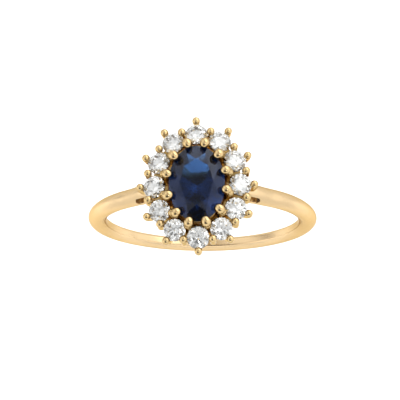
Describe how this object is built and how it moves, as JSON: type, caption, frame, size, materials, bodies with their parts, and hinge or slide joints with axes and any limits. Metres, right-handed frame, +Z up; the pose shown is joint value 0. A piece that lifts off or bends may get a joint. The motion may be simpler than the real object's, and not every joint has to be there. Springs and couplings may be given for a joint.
{
  "type": "engagement ring",
  "caption": "Cluster ring: an oval blue sapphire in a halo of round diamonds, held by bead-ended claws on a slim polished gold band with forked shoulders",
  "frame": {"origin": "centre of the finger hole, on the finger's axis and midway across the band", "axes": "+Y along the finger, +Z up through the middle of the sapphire, +X to the right across the head"},
  "size_m": [0.021, 0.0126, 0.0237],
  "materials": {
    "gold": null,
    "sapphire": "polished facets, very dark blue, refractive index 1.77",
    "diamond": "polished facets, colourless, refractive index 2.42"
  },
  "bodies": {
    "root": {"shank": "gold", "base_rail": "gold", "centre_collet": "gold", "halo_gallery": "gold", "sapphire": "sapphire", "diamond_01": "diamond", "diamond_02": "diamond", "diamond_03": "diamond", "diamond_04": "diamond", "diamond_05": "diamond", "diamond_06": "diamond", "diamond_07": "diamond", "diamond_08": "diamond", "diamond_09": "diamond", "diamond_10": "diamond", "diamond_11": "diamond", "diamond_12": "diamond", "inner_claw_01": "gold", "inner_claw_02": "gold", "inner_claw_03": "gold", "inner_claw_04": "gold", "inner_claw_05": "gold", "inner_claw_06": "gold", "inner_claw_07": "gold", "inner_claw_08": "gold", "inner_claw_09": "gold", "inner_claw_10": "gold", "inner_claw_11": "gold", "inner_claw_12": "gold", "shared_claw_01": "gold", "shared_claw_02": "gold", "shared_claw_03": "gold", "shared_claw_04": "gold", "shared_claw_05": "gold", "shared_claw_06": "gold", "shared_claw_07": "gold", "shared_claw_08": "gold", "shared_claw_09": "gold", "shared_claw_10": "gold", "shared_claw_11": "gold", "shared_claw_12": "gold", "tip_claw_01": "gold", "tip_claw_02": "gold", "tip_claw_03": "gold", "tip_claw_04": "gold", "tip_claw_05": "gold", "tip_claw_06": "gold", "tip_claw_07": "gold", "tip_claw_08": "gold", "tip_claw_09": "gold", "tip_claw_10": "gold", "tip_claw_11": "gold", "tip_claw_12": "gold"}
  },
  "joints": []
}
